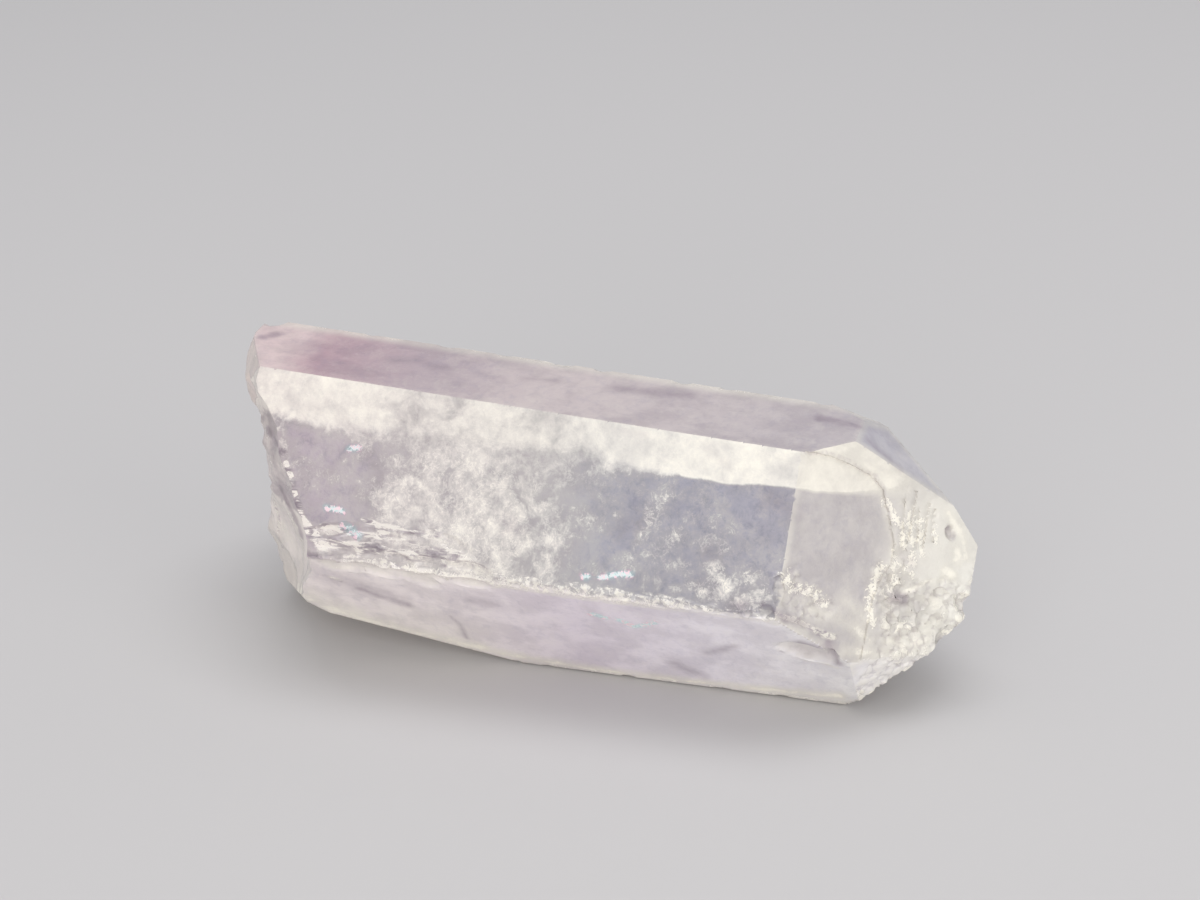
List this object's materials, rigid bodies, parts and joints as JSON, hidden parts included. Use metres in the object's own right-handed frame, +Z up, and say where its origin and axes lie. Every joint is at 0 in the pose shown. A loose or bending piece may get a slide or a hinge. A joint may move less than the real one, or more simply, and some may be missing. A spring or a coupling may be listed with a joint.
{
  "type": "quartz point",
  "caption": "Long six-sided clear quartz crystal lying on a prism face, with a faceted pointed end, a broken root, and chipped edges.",
  "frame": {"origin": "under the middle of the crystal's box, on the surface that it rests on", "axes": "+X along the crystal from the broken root to the tip, +Z up, -Y towards the sharp front edge"},
  "size_m": [0.0948, 0.0356, 0.0381],
  "materials": {
    "clear_quartz": "clear natural quartz with glossy prism faces, a dulled and etched front end face, white chipped edges, and milky veils inside"
  },
  "bodies": {
    "root": {"quartz_point": "clear_quartz"}
  },
  "joints": []
}
